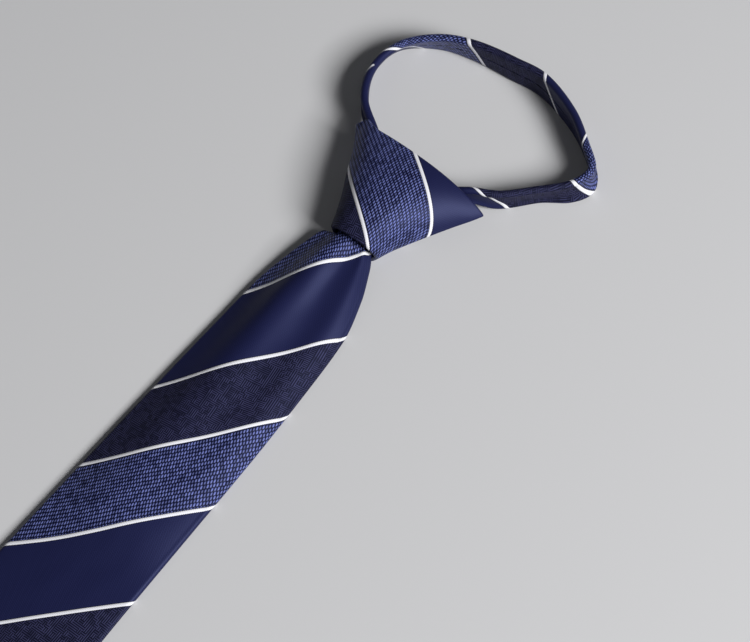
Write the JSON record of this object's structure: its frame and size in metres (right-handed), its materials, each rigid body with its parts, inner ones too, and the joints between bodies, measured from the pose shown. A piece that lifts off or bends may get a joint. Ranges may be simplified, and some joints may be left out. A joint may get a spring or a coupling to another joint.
{
  "type": "zipper tie",
  "caption": "Ready-tied zipper tie of slanting striped cloth, lying face up: blade with a pointed tip, knot, a closed loop for the neck and the closed zip behind the blade.",
  "frame": {"origin": "on the flat back of the knot, at the middle of its height", "axes": "+Z towards the side that faces forward when worn, +Y from the knot to the neck loop, -Y to the tip of the blade"},
  "size_m": [0.1051, 0.5409, 0.022],
  "materials": {
    "striped_cloth": "satin",
    "zip_cloth": "matte"
  },
  "bodies": {
    "root": {"front_blade": "striped_cloth", "knot_wrap": "striped_cloth", "neck_loop": "striped_cloth", "zip_tail": "zip_cloth"}
  },
  "joints": []
}
